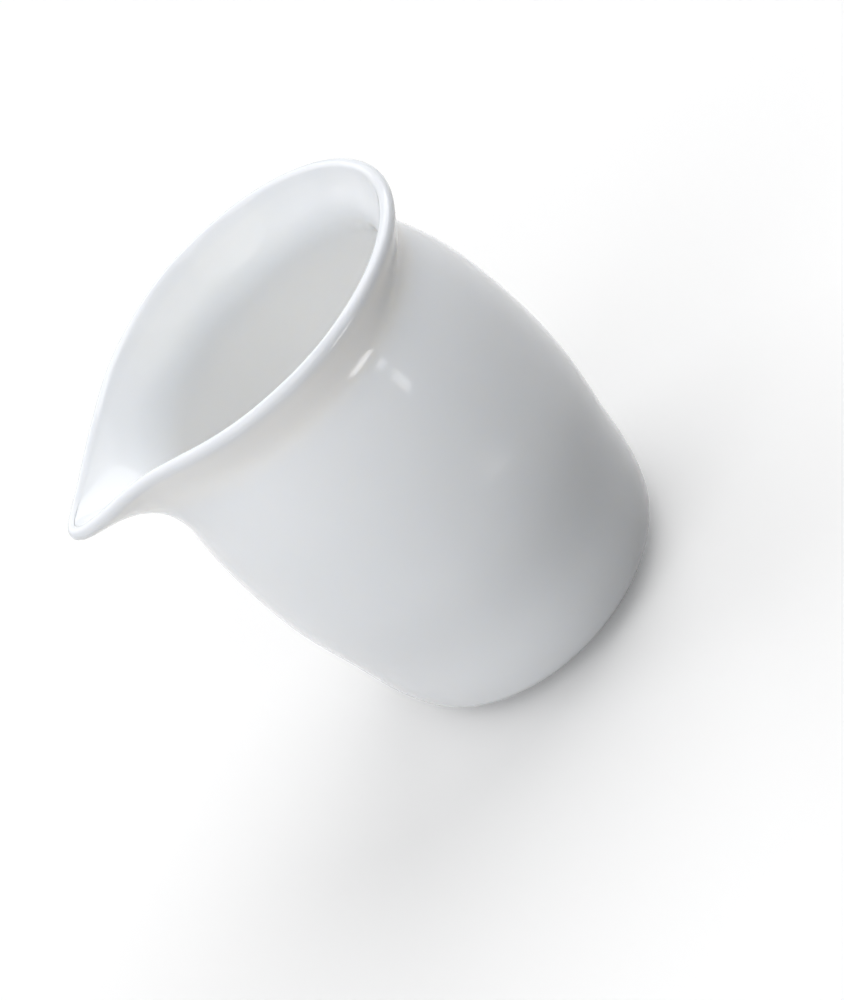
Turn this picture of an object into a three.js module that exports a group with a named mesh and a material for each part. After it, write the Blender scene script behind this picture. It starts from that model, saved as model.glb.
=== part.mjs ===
// Handleless porcelain cream jug, slip-cast in one piece: a pear-shaped cup with a rounded base corner, a drawn-in
// neck, a short flared rim and a wide pouring lip pulled out of that rim. It stands on a narrow unglazed foot ring.
//
// Frame: millimetres, +Z up, the jug standing on z = 0. The pouring lip points to -Y, and the jug is symmetric about
// the plane x = 0. The origin is the centre of the bounding box's bottom face, so the axis of the round body stands at
// y = AXIS_Y, behind the origin, because the lip reaches forward.
import * as THREE from "three";
import { mergeVertices } from "three/addons/utils/BufferGeometryUtils.js";

// ---- driving dimensions ------------------------------------------------------------------------------------------
const HEIGHT = 88; // foot to the top of the rim at the back
const AXIS_Y = 6.44; // axis of the round body, from the centre of the bounding box
const WALL = 3.0; // thickness of the floor and of the wall
const LIP_R = 1.23; // radius of the rounded edge of the rim: the wall thins to twice this
const FOOT_H = 1.5; // the foot ring's height, which is also how far the glazed underside stands off the table
const FOOT_R_OUT = 22.1; // outer radius of the foot ring where it meets the body
const FOOT_R_IN = 18.7; // inner radius of the foot ring where it meets the body
const FOOT_EDGE = 0.45; // chamfer that the foot ring's two lower edges are fettled to
const FOOT_SEAT = 0.35; // the wiped groove either side of the foot ring, left bare of glaze

const BASE_CORNER_R = 6.05; // outer radius of the corner between the underside and the wall
// Outer radius of the round body, at these heights, before the corner is rounded. The last one is where the wall is
// heading as it enters the neck.
const SIDE_Z = [0, 10.56, 22.0, 35.2, 48.4, 59.84, 70.4, 79.2, 88.0];
const SIDE_R = [28.49, 32.32, 34.11, 35.96, 36.12, 35.15, 32.83, 29.35, 24.78];

const RIM_R = 32.99; // radius of the middle of the rim's edge, away from the pouring lip
// How far the rim is pulled out, in mm, at these angles from the middle of the pouring lip.
const PULL_DEG = [0, 8, 16, 26, 38, 54, 74, 100];
const PULL_R = [14.93, 10.74, 5.99, 2.27, 0.42, -0.36, -0.32, 0];
// How far the rim dips, in mm, at these angles from the middle of the pouring lip.
const DIP_DEG = [0, 15, 35, 60, 85];
const DIP_Z = [-6.35, -3.69, -1.03, -0.27, 0];

// The neck: the wall leaves the round body's profile and turns outwards into the rim, as one smooth curve. Each value
// is given at the back, at the sides and under the pouring lip, and the two spreads, in degrees, say how far round the
// back's values and the lip's reach.
const NECK_Z = [75.5, 73.4, 62.5]; // height where the wall leaves the body's profile
const NECK_PULL = [8.0, 4.95, 15.98]; // how long it holds the body's direction
const RIM_PULL = [5.0, 9.0, 1.39]; // how long it holds the rim's direction
const RIM_SLOPE = [60.0, 66.0, 52.07]; // elevation of the wall where it reaches the rim, in degrees
const BACK_SPREAD = 55.0;
const LIP_SPREAD = 38.79;

// Fineness of the mesh.
const AROUND = 64; // sections around the axis
const CROWD = 0.42; // how far the sections crowd towards the pouring lip, 0 to 1
const ROWS_FLOOR = 1;
const ROWS_CORNER = 4;
const ROWS_SIDE = 9;
const ROWS_NECK = 9;
const ROWS_EDGE = 4;

// ---- small mathematics ---------------------------------------------------------------------------------------------
// Cubic spline through points. Flat ends have zero slope; natural ends have zero curvature.
function spline(xs, ys, flatEnds) {
  const n = xs.length,
    a = new Array(n).fill(0),
    b = new Array(n).fill(1),
    c = new Array(n).fill(0),
    d = new Array(n).fill(0);
  for (let i = 1; i < n - 1; i++) {
    const h0 = xs[i] - xs[i - 1],
      h1 = xs[i + 1] - xs[i];
    a[i] = h0;
    b[i] = 2 * (h0 + h1);
    c[i] = h1;
    d[i] = 6 * ((ys[i + 1] - ys[i]) / h1 - (ys[i] - ys[i - 1]) / h0);
  }
  if (flatEnds) {
    const h0 = xs[1] - xs[0],
      h1 = xs[n - 1] - xs[n - 2];
    b[0] = 2 * h0;
    c[0] = h0;
    d[0] = (6 * (ys[1] - ys[0])) / h0;
    a[n - 1] = h1;
    b[n - 1] = 2 * h1;
    d[n - 1] = (-6 * (ys[n - 1] - ys[n - 2])) / h1;
  }
  for (let i = 1; i < n; i++) {
    const w = a[i] / b[i - 1];
    b[i] -= w * c[i - 1];
    d[i] -= w * d[i - 1];
  }
  const m = new Array(n);
  m[n - 1] = d[n - 1] / b[n - 1];
  for (let i = n - 2; i >= 0; i--) m[i] = (d[i] - c[i] * m[i + 1]) / b[i];
  const piece = (x) => {
    let i = 0;
    while (i < n - 2 && x > xs[i + 1]) i++;
    return i;
  };
  return {
    at(x) {
      const i = piece(x),
        h = xs[i + 1] - xs[i],
        u = (xs[i + 1] - x) / h,
        v = (x - xs[i]) / h;
      return (
        u * ys[i] +
        v * ys[i + 1] +
        (((u ** 3 - u) * m[i] + (v ** 3 - v) * m[i + 1]) * h * h) / 6
      );
    },
    slope(x) {
      const i = piece(x),
        h = xs[i + 1] - xs[i],
        u = (xs[i + 1] - x) / h,
        v = (x - xs[i]) / h;
      return (
        (ys[i + 1] - ys[i]) / h +
        (((1 - 3 * u * u) * m[i] + (3 * v * v - 1) * m[i + 1]) * h) / 6
      );
    },
  };
}

const sideCurve = spline(SIDE_Z, SIDE_R, false);
const pullCurve = spline(PULL_DEG, PULL_R, true);
const dipCurve = spline(DIP_DEG, DIP_Z, true);

// ---- the wall's middle surface -------------------------------------------------------------------------------------
// The wall is one sheet of constant thickness. Its middle surface is described by a meridian at each angle around the
// axis, and the angle is measured from the middle of the pouring lip.
const HALF = WALL / 2;
const FLOOR_Z = FOOT_H + HALF; // middle of the floor
const CORNER_R = BASE_CORNER_R - HALF;

function middleOfSide(z) {
  const slope = sideCurve.slope(z);
  return sideCurve.at(z) - HALF * Math.sqrt(1 + slope * slope);
}

function middleOfCorner(z) {
  const up = Math.max(CORNER_R - (z - FLOOR_Z), 0);
  return (
    middleOfSide(z) -
    (CORNER_R - Math.sqrt(Math.max(CORNER_R ** 2 - up ** 2, 0)))
  );
}

// Points [r, z] of the meridian at an angle in degrees, from the axis to the rim.
function meridian(degrees) {
  const away = Math.abs(((((degrees + 180) % 360) + 360) % 360) - 180);
  const lip = Math.exp(-((away / LIP_SPREAD) ** 2));
  const behind = Math.exp(-(((180 - away) / BACK_SPREAD) ** 2));
  const blend = ([back, side, front]) =>
    side + (back - side) * behind + (front - side) * lip;
  const points = [];

  const floorR = middleOfSide(FLOOR_Z) - CORNER_R;
  for (let i = 0; i < ROWS_FLOOR; i++)
    points.push([(floorR * i) / ROWS_FLOOR, FLOOR_Z]);

  for (let i = 0; i < ROWS_CORNER; i++) {
    const z =
      FLOOR_Z + CORNER_R * (1 - Math.cos(((Math.PI / 2) * i) / ROWS_CORNER));
    points.push([middleOfCorner(z), z]);
  }

  const neckZ = blend(NECK_Z),
    cornerTop = FLOOR_Z + CORNER_R;
  for (let i = 0; i < ROWS_SIDE; i++) {
    const z = cornerTop + ((neckZ - cornerTop) * i) / ROWS_SIDE;
    points.push([middleOfSide(z), z]);
  }

  const e = 1e-3,
    slope = (middleOfSide(neckZ + e) - middleOfSide(neckZ - e)) / (2 * e),
    norm = Math.sqrt(1 + slope * slope),
    rim = (blend(RIM_SLOPE) * Math.PI) / 180,
    a = new THREE.Vector2(middleOfSide(neckZ), neckZ),
    d = new THREE.Vector2(
      RIM_R + (away < 100 ? pullCurve.at(away) : 0),
      HEIGHT - LIP_R + (away < 85 ? dipCurve.at(away) : 0),
    ),
    b = new THREE.Vector2(slope / norm, 1 / norm)
      .multiplyScalar(blend(NECK_PULL))
      .add(a),
    c = new THREE.Vector2(-Math.cos(rim), -Math.sin(rim))
      .multiplyScalar(blend(RIM_PULL))
      .add(d),
    curve = new THREE.CubicBezierCurve(a, b, c, d);
  for (let i = 0; i <= ROWS_NECK; i++) {
    const p = curve.getPoint(i / ROWS_NECK);
    points.push([p.x, p.y]);
  }
  return points;
}

const ROWS = ROWS_FLOOR + ROWS_CORNER + ROWS_SIDE + ROWS_NECK + 1;

function place(degrees, [r, z]) {
  const t = (degrees * Math.PI) / 180;
  return new THREE.Vector3(r * Math.sin(t), AXIS_Y - r * Math.cos(t), z);
}

// Half the wall's thickness at a row: constant, then thinning over the neck to the rounded edge.
function halfAt(row) {
  const u = (row - (ROWS - 1 - ROWS_NECK)) / ROWS_NECK;
  if (u <= 0) return HALF;
  return HALF + (LIP_R - HALF) * (3 * u * u - 2 * u ** 3);
}

// One section through the wall, as a list of points from the underside on the axis, out and up the outside, over the
// rim's edge and down the inside to the floor on the axis.
function section(degrees) {
  const e = 0.05,
    here = meridian(degrees).map((p) => place(degrees, p)),
    next = meridian(degrees + e).map((p) => place(degrees + e, p)),
    last = meridian(degrees - e).map((p) => place(degrees - e, p));
  const across = new THREE.Vector3(
    Math.cos((degrees * Math.PI) / 180),
    Math.sin((degrees * Math.PI) / 180),
    0,
  );
  const outside = [],
    inside = [];
  let edgeNormal, edgeRun;
  for (let i = 0; i < ROWS; i++) {
    const run = here[Math.min(i + 1, ROWS - 1)]
      .clone()
      .sub(here[Math.max(i - 1, 0)])
      .normalize();
    const side = i === 0 ? across : next[i].clone().sub(last[i]).normalize();
    const normal = side.clone().cross(run).normalize();
    const half = halfAt(i);
    outside.push(here[i].clone().addScaledVector(normal, half));
    inside.push(here[i].clone().addScaledVector(normal, -half));
    edgeNormal = normal;
    edgeRun = run;
  }
  edgeRun.addScaledVector(edgeNormal, -edgeRun.dot(edgeNormal)).normalize();
  const edge = [];
  for (let i = 1; i <= ROWS_EDGE; i++) {
    const t = (Math.PI * i) / (ROWS_EDGE + 1);
    edge.push(
      here[ROWS - 1]
        .clone()
        .addScaledVector(edgeNormal, LIP_R * Math.cos(t))
        .addScaledVector(edgeRun, LIP_R * Math.sin(t)),
    );
  }
  return [...outside, ...edge, ...inside.reverse()];
}

// Angle of each section: they crowd towards the pouring lip, where the rim turns most sharply.
function angleOf(i) {
  const v = -Math.PI + (2 * Math.PI * i) / AROUND;
  return ((v - CROWD * Math.sin(v)) * 180) / Math.PI;
}

// A closed surface from sections that all start and end on the axis.
function shellFrom(sections) {
  const columns = sections.length,
    rows = sections[0].length,
    position = [];
  const quad = (a, b, c, d) =>
    [a, b, c, a, c, d].forEach((p) => position.push(p.x, p.y, p.z));
  for (let i = 0; i < columns; i++) {
    const a = sections[i],
      b = sections[(i + 1) % columns];
    for (let j = 0; j < rows - 1; j++) {
      if (j === 0)
        [a[0], b[1], a[1]].forEach((p) => position.push(p.x, p.y, p.z));
      else if (j === rows - 2)
        [a[j], b[j], a[j + 1]].forEach((p) => position.push(p.x, p.y, p.z));
      else quad(a[j], b[j], b[j + 1], a[j + 1]);
    }
  }
  const geometry = new THREE.BufferGeometry();
  geometry.setAttribute(
    "position",
    new THREE.Float32BufferAttribute(position, 3),
  );
  const merged = mergeVertices(geometry, 1e-4);
  merged.computeVertexNormals();
  return merged;
}

// ---- jug body ------------------------------------------------------------------------------------------------------
const sections = [];
for (let i = 0; i < AROUND; i++) {
  const s = section(angleOf(i));
  // The pieces of the floor's two faces lie exactly flat, and every section meets on the axis.
  for (const p of s) {
    if (Math.abs(p.z - FOOT_H) < 1e-3) p.z = FOOT_H;
    if (Math.abs(p.z - FOOT_H - WALL) < 1e-3) p.z = FOOT_H + WALL;
  }
  s[0].set(0, AXIS_Y, FOOT_H);
  s[s.length - 1].set(0, AXIS_Y, FOOT_H + WALL);
  sections.push(s);
}
const glaze = new THREE.MeshStandardMaterial({
  color: 0xeef0f2,
  roughness: 0.12,
  metalness: 0,
});
const body = new THREE.Mesh(shellFrom(sections), glaze);
body.name = "jug_body";

// ---- foot ring -----------------------------------------------------------------------------------------------------
// A low ring of bare porcelain under the body, with both lower edges chamfered, and its underside ground flat.
const footProfile = [
  [FOOT_R_IN, FOOT_H],
  [FOOT_R_IN + FOOT_SEAT, FOOT_EDGE],
  [FOOT_R_IN + FOOT_SEAT + FOOT_EDGE, 0],
  [FOOT_R_OUT - FOOT_SEAT - FOOT_EDGE, 0],
  [FOOT_R_OUT - FOOT_SEAT, FOOT_EDGE],
  [FOOT_R_OUT, FOOT_H],
  [FOOT_R_IN, FOOT_H],
].map(([r, z]) => new THREE.Vector2(r, z));
const bisque = new THREE.MeshStandardMaterial({
  color: 0xe4e0d8,
  roughness: 0.85,
  metalness: 0,
});
const foot = new THREE.Mesh(
  new THREE.LatheGeometry(footProfile, AROUND),
  bisque,
);
foot.name = "foot_ring";
foot.rotation.x = Math.PI / 2; // the lathe turns about Y: stand it up along Z
foot.position.set(0, AXIS_Y, 0);

const jug = new THREE.Group();
jug.name = "cream_jug";
jug.add(body, foot);
export default jug;
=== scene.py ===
import math

import bpy
import numpy as np
from mathutils import Matrix, Vector


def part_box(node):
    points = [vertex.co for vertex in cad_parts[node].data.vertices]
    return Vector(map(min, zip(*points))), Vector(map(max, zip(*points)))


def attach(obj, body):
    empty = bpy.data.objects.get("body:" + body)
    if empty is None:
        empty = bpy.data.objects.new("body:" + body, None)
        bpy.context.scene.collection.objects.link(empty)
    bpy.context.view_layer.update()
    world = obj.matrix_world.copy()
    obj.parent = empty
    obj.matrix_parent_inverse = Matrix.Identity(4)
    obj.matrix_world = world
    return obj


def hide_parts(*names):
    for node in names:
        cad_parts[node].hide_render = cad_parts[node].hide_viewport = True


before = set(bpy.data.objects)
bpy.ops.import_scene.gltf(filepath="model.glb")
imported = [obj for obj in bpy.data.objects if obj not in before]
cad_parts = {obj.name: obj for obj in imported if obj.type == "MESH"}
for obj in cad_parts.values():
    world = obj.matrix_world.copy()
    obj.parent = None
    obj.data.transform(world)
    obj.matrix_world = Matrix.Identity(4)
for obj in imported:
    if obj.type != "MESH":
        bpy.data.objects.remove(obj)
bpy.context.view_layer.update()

# ---------------------------------------------------------------------------------------------------------------
# Where things are: the body's axis and the foot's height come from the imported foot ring.
# ---------------------------------------------------------------------------------------------------------------
foot_lo, foot_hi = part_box("foot_ring")
AXIS_X = 1000 * (foot_lo.x + foot_hi.x) / 2
AXIS_Y = 1000 * (foot_lo.y + foot_hi.y) / 2
FOOT_H = 1000 * (foot_hi.z - foot_lo.z)
FOOT_R_OUT = 1000 * (foot_hi.x - foot_lo.x) / 2

# The jug's profile, in millimetres, as the CAD part has it.
HEIGHT = 88.0
WALL = 3.0
LIP_R = 1.23
FOOT_R_IN = FOOT_R_OUT - 3.4
BASE_CORNER_R = 6.05
SIDE_Z = [0, 10.56, 22.0, 35.2, 48.4, 59.84, 70.4, 79.2, 88.0]
SIDE_R = [28.49, 32.32, 34.11, 35.96, 36.12, 35.15, 32.83, 29.35, 24.78]
RIM_R = 32.99
PULL_DEG = [0, 8, 16, 26, 38, 54, 74, 100]
PULL_R = [14.93, 10.74, 5.99, 2.27, 0.42, -0.36, -0.32, 0]
DIP_DEG = [0, 15, 35, 60, 85]
DIP_Z = [-6.35, -3.69, -1.03, -0.27, 0]
NECK_Z = (75.5, 73.4, 62.5)
NECK_PULL = (8.0, 4.95, 15.98)
RIM_PULL = (5.0, 9.0, 1.39)
RIM_SLOPE = (60.0, 66.0, 52.07)
BACK_SPREAD = 55.0
LIP_SPREAD = 38.79

AROUND = 224
CROWD = 0.42
# Radii of the rings of the floor and the underside: they are closest where the glaze ends on each side of the foot.
FLOOR_RINGS = [0, 3, 6, 9, 12, 14.5, 16.4, 17.3, 17.8, 18.1, 18.35, 18.7, 19.5, 20.4, 21.3, 22.1, 22.4, 22.65, 22.95, 23.25]
ROWS_FLOOR, ROWS_CORNER, ROWS_SIDE, ROWS_NECK, ROWS_EDGE = len(FLOOR_RINGS), 14, 44, 40, 13


# ---------------------------------------------------------------------------------------------------------------
# Small mathematics
# ---------------------------------------------------------------------------------------------------------------
class Spline:
    """Cubic spline, with flat ends or natural ends."""

    def __init__(self, xs, ys, flat):
        x, y = np.array(xs, float), np.array(ys, float)
        n = len(x)
        m, d = np.zeros((n, n)), np.zeros(n)
        h = np.diff(x)
        s = np.diff(y) / h
        for i in range(1, n - 1):
            m[i, i - 1 : i + 2] = h[i - 1], 2 * (h[i - 1] + h[i]), h[i]
            d[i] = 6 * (s[i] - s[i - 1])
        if flat:
            m[0, :2] = 2 * h[0], h[0]
            d[0] = 6 * s[0]
            m[-1, -2:] = h[-1], 2 * h[-1]
            d[-1] = -6 * s[-1]
        else:
            m[0, 0] = m[-1, -1] = 1
        self.x, self.y, self.h, self.m = x, y, h, np.linalg.solve(m, d)

    def _uv(self, q):
        i = np.clip(np.searchsorted(self.x, q, side="right") - 1, 0, len(self.h) - 1)
        h = self.h[i]
        return i, h, (self.x[i + 1] - q) / h, (q - self.x[i]) / h

    def at(self, q):
        q = np.asarray(q, float)
        i, h, u, v = self._uv(q)
        m = self.m
        return u * self.y[i] + v * self.y[i + 1] + ((u**3 - u) * m[i] + (v**3 - v) * m[i + 1]) * h * h / 6

    def slope(self, q):
        q = np.asarray(q, float)
        i, h, u, v = self._uv(q)
        m = self.m
        return (self.y[i + 1] - self.y[i]) / h + ((1 - 3 * u * u) * m[i] + (3 * v * v - 1) * m[i + 1]) * h / 6


side_curve = Spline(SIDE_Z, SIDE_R, False)
pull_curve = Spline(PULL_DEG, PULL_R, True)
dip_curve = Spline(DIP_DEG, DIP_Z, True)

HALF = WALL / 2
FLOOR_Z = FOOT_H + HALF
CORNER_R = BASE_CORNER_R - HALF


def middle_of_side(z):
    s = side_curve.slope(z)
    return side_curve.at(z) - HALF * np.sqrt(1 + s * s)


def meridians(degrees):
    """(r, z) arrays, sections by rows, of the wall's middle surface at these angles from the middle of the lip."""
    deg = np.asarray(degrees, float)
    away = np.abs((deg + 180) % 360 - 180)
    lip = np.exp(-((away / LIP_SPREAD) ** 2))
    back = np.exp(-(((180 - away) / BACK_SPREAD) ** 2))
    blend = lambda p: p[1] + (p[0] - p[1]) * back + (p[2] - p[1]) * lip
    n = len(deg)
    rs, zs = [], []

    rs.append(np.tile(np.array(FLOOR_RINGS, float), (n, 1)))
    zs.append(np.full((n, ROWS_FLOOR), FLOOR_Z))

    t = np.linspace(0, math.pi / 2, ROWS_CORNER, endpoint=False)
    z = FLOOR_Z + CORNER_R * (1 - np.cos(t))
    up = np.clip(CORNER_R - (z - FLOOR_Z), 0, None)
    rs.append(np.tile(middle_of_side(z) - (CORNER_R - np.sqrt(np.clip(CORNER_R**2 - up**2, 0, None))), (n, 1)))
    zs.append(np.tile(z, (n, 1)))

    neck, top = blend(NECK_Z), FLOOR_Z + CORNER_R
    u = np.linspace(0, 1, ROWS_SIDE, endpoint=False)
    z = top + (neck[:, None] - top) * u[None]
    rs.append(middle_of_side(z))
    zs.append(z)

    e = 1e-3
    slope = (middle_of_side(neck + e) - middle_of_side(neck - e)) / (2 * e)
    norm = np.sqrt(1 + slope**2)
    rim = np.radians(blend(RIM_SLOPE))
    a = np.stack([middle_of_side(neck), neck], 1)
    d = np.stack(
        [
            RIM_R + np.where(away < 100, pull_curve.at(np.minimum(away, 100)), 0),
            HEIGHT - LIP_R + np.where(away < 85, dip_curve.at(np.minimum(away, 85)), 0),
        ],
        1,
    )
    b = a + blend(NECK_PULL)[:, None] * np.stack([slope / norm, 1 / norm], 1)
    c = d - blend(RIM_PULL)[:, None] * np.stack([np.cos(rim), np.sin(rim)], 1)
    u = np.linspace(0, 1, ROWS_NECK + 1)[None, :, None]
    p = (1 - u) ** 3 * a[:, None] + 3 * u * (1 - u) ** 2 * b[:, None] + 3 * u * u * (1 - u) * c[:, None] + u**3 * d[:, None]
    rs.append(p[..., 0])
    zs.append(p[..., 1])
    return np.concatenate(rs, 1), np.concatenate(zs, 1)


ROWS = ROWS_FLOOR + ROWS_CORNER + ROWS_SIDE + ROWS_NECK + 1


def place(degrees, r, z):
    t = np.radians(degrees)[:, None]
    return np.stack([AXIS_X + r * np.sin(t), AXIS_Y - r * np.cos(t), z], -1)


def unit(v):
    return v / np.linalg.norm(v, axis=-1, keepdims=True)


WAVES = np.random.RandomState(7).normal(size=(14, 3))
WAVES = unit(WAVES) * np.linspace(0.16, 0.42, 14)[:, None]
PHASES = np.random.RandomState(8).uniform(0, 2 * math.pi, 14)


def drift(p):
    """Smooth unevenness of a slip-cast and fired wall, about -1 to 1, at points in millimetres."""
    return np.sin(p @ WAVES.T + PHASES).sum(-1) / 5.5


def jug_grid():
    v = -math.pi + 2 * math.pi * np.arange(AROUND) / AROUND
    deg = np.degrees(v - CROWD * np.sin(v))
    here = place(deg, *meridians(deg))
    e = 0.05
    after, before = place(deg + e, *meridians(deg + e)), place(deg - e, *meridians(deg - e))
    run = np.empty_like(here)
    run[:, 1:-1] = here[:, 2:] - here[:, :-2]
    run[:, 0] = here[:, 1] - here[:, 0]
    run[:, -1] = here[:, -1] - here[:, -2]
    run = unit(run)
    across = np.stack([np.cos(np.radians(deg)), np.sin(np.radians(deg)), 0 * deg], -1)
    side = after - before
    side[:, 0] = across
    normal = unit(np.cross(unit(side), run))
    u = np.clip((np.arange(ROWS) - (ROWS - 1 - ROWS_NECK)) / ROWS_NECK, 0, 1)
    half = HALF + (LIP_R - HALF) * (3 * u * u - 2 * u**3)
    outside = here + normal * half[None, :, None]
    inside = here - normal * half[None, :, None]
    n_edge = normal[:, -1]
    t_edge = run[:, -1]
    t_edge = unit(t_edge - (t_edge * n_edge).sum(-1, keepdims=True) * n_edge)
    a = math.pi * np.arange(1, ROWS_EDGE + 1) / (ROWS_EDGE + 1)
    edge = (
        here[:, -1][:, None]
        + LIP_R * np.cos(a)[None, :, None] * n_edge[:, None]
        + LIP_R * np.sin(a)[None, :, None] * t_edge[:, None]
    )
    edge_n = np.cos(a)[None, :, None] * n_edge[:, None] + np.sin(a)[None, :, None] * t_edge[:, None]
    points = np.concatenate([outside, edge, inside[:, ::-1]], 1)
    normals = np.concatenate([normal, edge_n, -normal[:, ::-1]], 1)
    return deg, points, normals


def smoothstep(a, b, x):
    t = np.clip((x - a) / (b - a), 0, 1)
    return t * t * (3 - 2 * t)


def build_jug():
    deg, p, n = jug_grid()
    rows = p.shape[1]
    r = np.hypot(p[..., 0] - AXIS_X, p[..., 1] - AXIS_Y)
    underside = np.arange(rows)[None, :] < ROWS_FLOOR
    # The glazed underside is slightly domed inside the foot ring, and the glaze ends in a low rolled bead on each
    # side of the ring.
    dome = np.where(r < FOOT_R_IN - 0.4, 0.45 * (1 - (r / (FOOT_R_IN - 0.4)) ** 2), 0)
    bead = 0.13 * np.exp(-(((r - FOOT_R_IN + 0.6) / 0.26) ** 2)) + 0.13 * np.exp(-(((r - FOOT_R_OUT - 0.55) / 0.26) ** 2))
    p[..., 2] += np.where(underside, dome - bead, 0)
    # A wall that was cast and fired is never quite true.
    keep_flat = smoothstep(0, 6, p[..., 2] - FOOT_H)
    p += n * (0.045 * drift(p) * keep_flat)[..., None]
    return deg, p, n


def mesh_from_rings(name, p, poles=True):
    """A closed surface from sections that start and end on the axis (columns round the axis, rows along the section)."""
    cols, rows = p.shape[:2]
    inner = p[:, 1:-1] if poles else p
    k = inner.shape[1]
    verts = inner.reshape(-1, 3).tolist()
    faces = []
    for i in range(cols):
        j = (i + 1) % cols
        for m in range(k - 1):
            faces.append((i * k + m, j * k + m, j * k + m + 1, i * k + m + 1))
        if not poles:
            faces.append((i * k + k - 1, j * k + k - 1, j * k, i * k))
    if poles:
        first, last = len(verts), len(verts) + 1
        verts.append(p[:, 0].mean(0).tolist())
        verts.append(p[:, -1].mean(0).tolist())
        for i in range(cols):
            j = (i + 1) % cols
            faces.append((first, j * k, i * k))
            faces.append((i * k + k - 1, j * k + k - 1, last))
    mesh = bpy.data.meshes.new(name)
    mesh.from_pydata([(x / 1000, y / 1000, z / 1000) for x, y, z in verts], [], faces)
    mesh.validate()
    mesh.update()
    mesh.polygons.foreach_set("use_smooth", [True] * len(mesh.polygons))
    ob = bpy.data.objects.new(name, mesh)
    bpy.context.scene.collection.objects.link(ob)
    return ob, inner


def add_values(ob, name, values):
    a = ob.data.attributes.new(name, "FLOAT", "POINT")
    a.data.foreach_set("value", np.asarray(values, np.float32))


# ---------------------------------------------------------------------------------------------------------------
# Materials
# ---------------------------------------------------------------------------------------------------------------
def material(name):
    m = bpy.data.materials.new(name)
    m.use_nodes = True
    nt = m.node_tree
    bsdf = nt.nodes["Principled BSDF"]
    return m, nt, bsdf


def node(nt, kind, x=0, y=0, **inputs):
    nd = nt.nodes.new(kind)
    nd.location = (x, y)
    for k, v in inputs.items():
        nd.inputs[k.replace("_", " ")].default_value = v
    return nd


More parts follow.
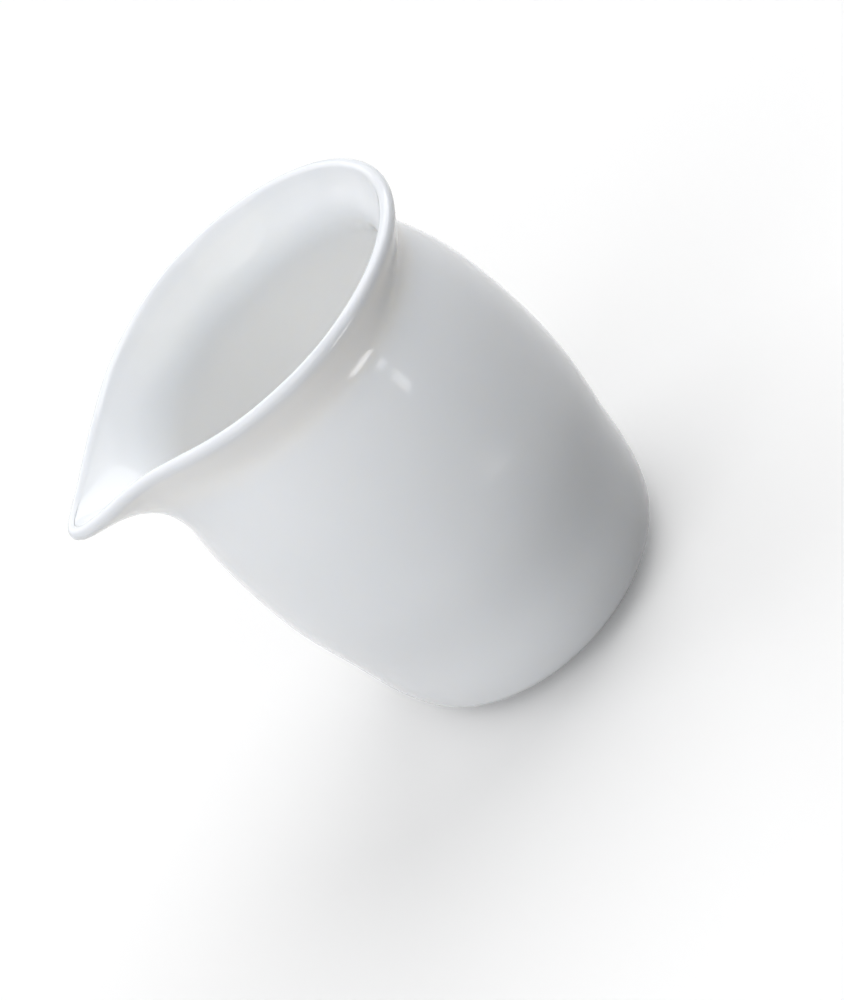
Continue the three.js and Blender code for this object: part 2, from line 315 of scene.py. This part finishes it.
def glazed_porcelain():
    m, nt, bsdf = material("glazed_porcelain")
    link = nt.links.new
    coord = node(nt, "ShaderNodeTexCoord", -1400, 0)
    bsdf.inputs["IOR"].default_value = 1.5
    bsdf.inputs["Specular IOR Level"].default_value = 0.5
    bsdf.inputs["Coat Weight"].default_value = 0.0
    bsdf.inputs["Subsurface Weight"].default_value = 0.6
    bsdf.inputs["Subsurface Radius"].default_value = (1.0, 0.95, 0.88)
    bsdf.inputs["Subsurface Scale"].default_value = 0.003

    # Colour: a cool white with faint clouds in the clay; painted light makes it lighter and warmer in the hollow
    # under the rim.
    cloud = node(nt, "ShaderNodeTexNoise", -1150, 300, Scale=34.0, Detail=3.0, Roughness=0.5)
    link(coord.outputs["Object"], cloud.inputs["Vector"])
    ramp = nt.nodes.new("ShaderNodeValToRGB")
    ramp.location = (-900, 300)
    ramp.color_ramp.elements[0].position, ramp.color_ramp.elements[1].position = 0.3, 0.75
    ramp.color_ramp.elements[0].color = (0.845, 0.869, 0.900, 1)
    ramp.color_ramp.elements[1].color = (0.870, 0.891, 0.920, 1)
    link(cloud.outputs["Fac"], ramp.inputs["Fac"])
    # Painted light: a lighter, warmer white in the hollow under the rim.
    under_rim_light = node(nt, "ShaderNodeAttribute", -900, 60)
    under_rim_light.attribute_name = "painted_light_under_rim"
    under_rim_light_mix = nt.nodes.new("ShaderNodeMix")
    under_rim_light_mix.data_type = "RGBA"
    under_rim_light_mix.location = (-600, 250)
    under_rim_light_mix.inputs["B"].default_value = (0.952, 0.942, 0.918, 1)
    link(ramp.outputs["Color"], under_rim_light_mix.inputs["A"])
    link(under_rim_light.outputs["Fac"], under_rim_light_mix.inputs["Factor"])
    # Painted colour of light: deep inside, a neutral grey-white takes out the blue cast of light bouncing inside.
    deep_bounce_tint = node(nt, "ShaderNodeAttribute", -600, -160)
    deep_bounce_tint.attribute_name = "painted_bounce_tint_deep"
    deep_bounce_tint_mix = nt.nodes.new("ShaderNodeMix")
    deep_bounce_tint_mix.data_type = "RGBA"
    deep_bounce_tint_mix.location = (-540, 240)
    deep_bounce_tint_mix.inputs["B"].default_value = (0.893, 0.896, 0.895, 1)
    link(under_rim_light_mix.outputs["Result"], deep_bounce_tint_mix.inputs["A"])
    link(deep_bounce_tint.outputs["Fac"], deep_bounce_tint_mix.inputs["Factor"])
    # Painted light: a brighter, bluer white on the inside of the rim.
    inside = node(nt, "ShaderNodeAttribute", -600, -40)
    inside.attribute_name = "painted_light_inner_rim"
    inner_rim_light_mix = nt.nodes.new("ShaderNodeMix")
    inner_rim_light_mix.data_type = "RGBA"
    inner_rim_light_mix.location = (-470, 230)
    inner_rim_light_mix.inputs["B"].default_value = (0.905, 0.927, 0.952, 1)
    link(deep_bounce_tint_mix.outputs["Result"], inner_rim_light_mix.inputs["A"])
    link(inside.outputs["Fac"], inner_rim_light_mix.inputs["Factor"])
    # Where the glaze thins over the edge of the rim it is a little greyer; the grey is made darker still as painted
    # shade, to dim the crest of the rim that the lights make too bright.
    rim_grey_and_shade = node(nt, "ShaderNodeAttribute", -900, -120)
    rim_grey_and_shade.attribute_name = "thin_glaze_and_painted_shade"
    edge = nt.nodes.new("ShaderNodeMix")
    edge.data_type = "RGBA"
    edge.location = (-350, 200)
    edge.inputs["B"].default_value = (0.775, 0.805, 0.855, 1)
    link(inner_rim_light_mix.outputs["Result"], edge.inputs["A"])
    link(rim_grey_and_shade.outputs["Fac"], edge.inputs["Factor"])
    link(edge.outputs["Result"], bsdf.inputs["Base Color"])

    # Gloss: very smooth, and slightly uneven.
    smear = node(nt, "ShaderNodeTexNoise", -1150, -200, Scale=60.0, Detail=4.0, Roughness=0.6)
    link(coord.outputs["Object"], smear.inputs["Vector"])
    span = node(nt, "ShaderNodeMapRange", -900, -300)
    span.inputs["To Min"].default_value, span.inputs["To Max"].default_value = 0.055, 0.11
    link(smear.outputs["Fac"], span.inputs["Value"])
    link(span.outputs["Result"], bsdf.inputs["Roughness"])

    # Surface: long soft undulations of the glaze, and its fine orange peel.
    wave = node(nt, "ShaderNodeTexNoise", -1150, -480, Scale=90.0, Detail=1.0, Roughness=0.4)
    peel = node(nt, "ShaderNodeTexNoise", -1150, -700, Scale=900.0, Detail=2.0, Roughness=0.5)
    for t in (wave, peel):
        link(coord.outputs["Object"], t.inputs["Vector"])
    b1 = node(nt, "ShaderNodeBump", -600, -480, Strength=0.22, Distance=0.00035)
    b2 = node(nt, "ShaderNodeBump", -350, -480, Strength=0.05, Distance=0.00004)
    link(wave.outputs["Fac"], b1.inputs["Height"])
    link(peel.outputs["Fac"], b2.inputs["Height"])
    link(b1.outputs["Normal"], b2.inputs["Normal"])
    link(b2.outputs["Normal"], bsdf.inputs["Normal"])
    return m


def bare_porcelain():
    m, nt, bsdf = material("bare_porcelain")
    link = nt.links.new
    coord = node(nt, "ShaderNodeTexCoord", -1400, 0)
    bsdf.inputs["IOR"].default_value = 1.45
    bsdf.inputs["Specular IOR Level"].default_value = 0.25
    grain = node(nt, "ShaderNodeTexNoise", -1150, 300, Scale=1400.0, Detail=4.0, Roughness=0.7)
    stain = node(nt, "ShaderNodeTexNoise", -1150, 60, Scale=260.0, Detail=3.0, Roughness=0.6)
    for t in (grain, stain):
        link(coord.outputs["Object"], t.inputs["Vector"])
    ramp = nt.nodes.new("ShaderNodeValToRGB")
    ramp.location = (-900, 300)
    ramp.color_ramp.elements[0].position, ramp.color_ramp.elements[1].position = 0.25, 0.7
    ramp.color_ramp.elements[0].color = (0.60, 0.575, 0.53, 1)
    ramp.color_ramp.elements[1].color = (0.77, 0.745, 0.70, 1)
    link(grain.outputs["Fac"], ramp.inputs["Fac"])
    worn = node(nt, "ShaderNodeAttribute", -900, -120)
    worn.attribute_name = "foot_wear"
    much = nt.nodes.new("ShaderNodeMath")
    much.operation = "MULTIPLY"
    much.location = (-700, 0)
    link(worn.outputs["Fac"], much.inputs[0])
    link(stain.outputs["Fac"], much.inputs[1])
    mix = nt.nodes.new("ShaderNodeMix")
    mix.data_type = "RGBA"
    mix.location = (-450, 200)
    mix.inputs["B"].default_value = (0.42, 0.39, 0.345, 1)
    link(ramp.outputs["Color"], mix.inputs["A"])
    link(much.outputs["Value"], mix.inputs["Factor"])
    link(mix.outputs["Result"], bsdf.inputs["Base Color"])
    span = node(nt, "ShaderNodeMapRange", -700, -300)
    span.inputs["To Min"].default_value, span.inputs["To Max"].default_value = 0.7, 0.95
    link(stain.outputs["Fac"], span.inputs["Value"])
    link(span.outputs["Result"], bsdf.inputs["Roughness"])
    bump = node(nt, "ShaderNodeBump", -450, -300, Strength=0.5, Distance=0.00008)
    link(grain.outputs["Fac"], bump.inputs["Height"])
    link(bump.outputs["Normal"], bsdf.inputs["Normal"])
    return m


def floor_material():
    m, nt, bsdf = material("studio_floor")
    bsdf.inputs["Base Color"].default_value = (0.92, 0.92, 0.92, 1)
    bsdf.inputs["Roughness"].default_value = 0.9
    bsdf.inputs["Specular IOR Level"].default_value = 0.0
    return m


# ---------------------------------------------------------------------------------------------------------------
# Pieces
# ---------------------------------------------------------------------------------------------------------------
deg, grid, normals = build_jug()
jug, inner = mesh_from_rings("jug_glazed", grid)
gr = np.hypot(inner[..., 0] - AXIS_X, inner[..., 1] - AXIS_Y)
rows = inner.shape[1]
row = np.arange(rows)[None, :] + 1
n_out, n_in = ROWS, ROWS - 1 + ROWS_EDGE
# Painted light makes the glaze lighter and warmer in the hollow under the rim, most on the sides away from the lip.
# The glaze thins over the rim's edge, and the grey of that is deepened as painted shade.
step = np.linalg.norm(np.diff(inner[:, : n_out - 1], axis=1), axis=-1)
below = np.full(gr.shape, -5.0)  # distance along the outside from the rim's outer edge, in millimetres
below[:, : n_out - 2] = np.cumsum(step[:, ::-1], 1)[:, ::-1]
below[:, n_out - 2] = 0
below[:, n_out - 1 : n_out - 1 + ROWS_EDGE] = -LIP_R * math.pi * np.arange(1, ROWS_EDGE + 1) / (ROWS_EDGE + 1)
away = np.abs((deg + 180) % 360 - 180)[:, None]
# Painted light under the rim: mask of the hollow below the rim's outer edge, stronger away from the lip.
under_rim_light = smoothstep(-0.8, 0.8, below) * (1 - smoothstep(7.0, 12.5, below)) * (0.6 + 0.4 * smoothstep(50, 115, away))
# Partly real greying of thin glaze, partly painted shade: mask over the rim's edge.
d_edge = np.abs(row - (n_out + ROWS_EDGE / 2)) / (ROWS_EDGE / 2 + 3)
rim_grey_and_shade = np.clip(1.15 - d_edge, 0, 1) * np.ones_like(gr)
# Painted light: the glaze is made a little brighter on the inside of the rim, beside the pouring lip and along the
# sides.
step = np.linalg.norm(np.diff(inner[:, n_in:], axis=1), axis=-1)
within = np.full(gr.shape, np.inf)  # distance along the inside from the rim's inner edge, in millimetres
within[:, n_in] = 0
within[:, n_in + 1 :] = np.cumsum(step, 1)
inner_rim_light = (1 - smoothstep(4, 15, within)) * smoothstep(35, 60, away) * (1 - smoothstep(105, 145, away))
# Painted colour of light: mask of the deep inside, where a neutral white offsets the blue cast of bouncing light.
deep_bounce_tint_mask = smoothstep(8, 22, within) * np.isfinite(within)
add_values(jug, "painted_light_inner_rim", np.append(inner_rim_light.reshape(-1), [0, 0]))
add_values(jug, "painted_bounce_tint_deep", np.append(deep_bounce_tint_mask.reshape(-1), [0, 1]))
add_values(jug, "painted_light_under_rim", np.append(under_rim_light.reshape(-1), [0, 0]))
add_values(jug, "thin_glaze_and_painted_shade", np.append(rim_grey_and_shade.reshape(-1), [0, 0]))
jug.data.materials.append(glazed_porcelain())
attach(jug, "root")
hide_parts("jug_body")


def foot_section():
    """The foot ring's section, in millimetres: a flat ground underside, two rounded edges and hollowed sides."""
    lo, hi, h = FOOT_R_IN, FOOT_R_OUT, FOOT_H
    pts = []

    def arc(cx, cz, rad, a0, a1, n):
        for i in range(n + 1):
            a = math.radians(a0 + (a1 - a0) * i / n)
            pts.append((cx + rad * math.cos(a), cz + rad * math.sin(a)))

    seat, edge = 0.42, 0.34
    pts.append((lo, h))
    arc(lo, h - seat, seat, 90, 0, 7)  # hollow side towards the middle
    arc(lo + seat + edge, edge, edge, 180, 270, 8)
    for i in range(1, 8):
        pts.append((lo + seat + edge + (hi - lo - 2 * seat - 2 * edge) * i / 8, 0.0))
    arc(hi - seat - edge, edge, edge, 270, 360, 8)
    arc(hi, h - seat, seat, 180, 90, 7)
    for i in range(1, 8):
        pts.append((hi + (lo - hi) * i / 8, h))
    out = []
    for q in pts:
        if not out or math.hypot(q[0] - out[-1][0], q[1] - out[-1][1]) > 1e-4:
            out.append(q)
    if math.hypot(out[0][0] - out[-1][0], out[0][1] - out[-1][1]) < 1e-4:
        out.pop()
    return np.array(out)


sec = foot_section()
t = 2 * math.pi * np.arange(AROUND) / AROUND
ring = np.stack(
    [
        AXIS_X + sec[None, :, 0] * np.sin(t)[:, None],
        AXIS_Y - sec[None, :, 0] * np.cos(t)[:, None],
        np.tile(sec[None, :, 1], (AROUND, 1)),
    ],
    -1,
)
foot, foot_grid = mesh_from_rings("foot_bare", ring, poles=False)
add_values(foot, "foot_wear", (1 - smoothstep(0.0, 0.5, foot_grid[..., 2])).reshape(-1))
foot.data.materials.append(bare_porcelain())
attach(foot, "root")
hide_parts("foot_ring")

# Faces must point out of the clay.
for ob in (jug, foot):
    me = ob.data
    co = np.empty(len(me.vertices) * 3)
    me.vertices.foreach_get("co", co)
    co = co.reshape(-1, 3)
    vol = 0.0
    me.calc_loop_triangles()
    tri = np.empty(len(me.loop_triangles) * 3, int)
    me.loop_triangles.foreach_get("vertices", tri)
    a, b, c = (co[tri.reshape(-1, 3)[:, k]] for k in range(3))
    vol = float(np.einsum("ij,ij->i", a, np.cross(b, c)).sum() / 6)
    if vol < 0:
        me.flip_normals()

# ---------------------------------------------------------------------------------------------------------------
# Stage: floor, light and camera
# ---------------------------------------------------------------------------------------------------------------
bpy.ops.mesh.primitive_grid_add(x_subdivisions=2, y_subdivisions=2, size=8, location=(0, 0, 0))
floor = bpy.context.object
floor.name = "studio_floor"
floor.data.materials.append(floor_material())

world = bpy.data.worlds.new("studio")
bpy.context.scene.world = world
world.use_nodes = True
world.node_tree.nodes["Background"].inputs["Color"].default_value = (1, 1, 1, 1)
world.node_tree.nodes["Background"].inputs["Strength"].default_value = 1.0
# The pale backdrop is there to be looked at and to shine in the glaze: the lights below do the lighting.
world.cycles_visibility.diffuse = False
world.cycles_visibility.transmission = False
world.cycles_visibility.scatter = False

def far_softbox(name, azimuth, elevation, angle, strength, shine=True):
    """A soft light so far away that it falls evenly on the whole floor. Azimuth 0 is at -Y and 90 at +X."""
    a, e = math.radians(azimuth), math.radians(elevation)
    back = Vector((math.sin(a) * math.cos(e), -math.cos(a) * math.cos(e), math.sin(e)))
    data = bpy.data.lights.new(name, "SUN")
    data.angle = math.radians(angle)
    data.energy = strength
    ob = bpy.data.objects.new(name, data)
    ob.location = back * 2
    ob.rotation_mode = "QUATERNION"
    ob.rotation_quaternion = back.to_track_quat("Z", "Y")
    ob.visible_glossy = shine
    bpy.context.scene.collection.objects.link(ob)
    return ob


# The floor takes light and shadow but throws none back on the jug; the lights below stand for a lit table top.
floor.visible_diffuse = False
floor.visible_shadow = False
for box in (
    ("key", 60, 45, 60, 0.94),
    ("key_right", 120, 45, 60, 0.60),
    ("front", 0, 45, 60, 0.48),
    ("left", 300, 45, 60, 0.955),
    ("back_left", 210, 45, 60, 1.87),
    ("table_right", 45, -30, 60, 0.77, False),
    ("table_front", 22, -5, 60, 0.62, False),
    ("table_back", 255, -30, 60, 0.80, False),
):
    far_softbox(*box)


def card(name, point, azimuth, elevation, distance, width, height, radiance, spread=180, gloss=True):
    """A small bright card that only shines in the glaze, or else only lights the clay. It stands on the ray that
    leaves a point of the jug, in millimetres, at this azimuth and elevation."""
    a, e = math.radians(azimuth), math.radians(elevation)
    back = Vector((math.sin(a) * math.cos(e), -math.cos(a) * math.cos(e), math.sin(e)))
    data = bpy.data.lights.new(name, "AREA")
    data.shape = "RECTANGLE"
    data.size, data.size_y = width, height
    data.energy = radiance * math.pi * width * height
    data.spread = math.radians(spread)
    ob = bpy.data.objects.new(name, data)
    ob.location = Vector((point[0] + AXIS_X, point[1] + AXIS_Y, point[2])) / 1000 + back * distance
    ob.rotation_mode = "QUATERNION"
    ob.rotation_quaternion = back.to_track_quat("Z", "Y")
    ob.visible_camera = ob.visible_transmission = ob.visible_volume_scatter = False
    ob.visible_glossy, ob.visible_diffuse = gloss, not gloss
    bpy.context.scene.collection.objects.link(ob)


# Two small reflections, in the hollow of the neck and on the shoulder beside it.
card("glint_neck", (29.5, 8.3, 78.5), 127, -46, 0.045, 0.0173, 0.024, 0.34, 42)
card("glint_shoulder", (31.4, 9.8, 70.0), 126, 5.8, 0.8, 0.09, 0.11, 2.8)
# Light thrown up under the rim.
card("bounce_neck", (27.3, 11.0, 80.0), 120, -40, 0.09, 0.05, 0.04, 0.125, 40, False)

# The camera stands where the photographer stood, in the jug's own upright frame.
CAM_ROT = [[0.373661, 0.690391, -0.619466], [0.381659, -0.723123, -0.575699], [-0.845407, -0.021309, -0.533697]]
CAM_POS = (0.347489, 0.006331, 0.252242)
cam_data = bpy.data.cameras.new("camera")
cam = bpy.data.objects.new("camera", cam_data)
bpy.context.scene.collection.objects.link(cam)
right, down, forward = (Vector(v) for v in CAM_ROT)
m = Matrix((right, -down, -forward)).transposed().to_4x4()
m.translation = Vector(CAM_POS) + Vector((AXIS_X / 1000, AXIS_Y / 1000, 0))
cam.matrix_world = m
cam_data.sensor_width = 36
cam_data.sensor_fit = "AUTO"
cam_data.lens = 36 * 2200 / 1000
cam_data.clip_start = 0.01
cam_data.clip_end = 50
bpy.context.scene.camera = cam

# White clay passes light on many times inside the jug.
bpy.context.scene.cycles.max_bounces = 16
bpy.context.scene.cycles.diffuse_bounces = 12

bpy.context.scene.view_settings.view_transform = "Standard"
bpy.context.scene.view_settings.look = "None"
bpy.context.scene.view_settings.exposure = 0
bpy.context.scene.view_settings.gamma = 1
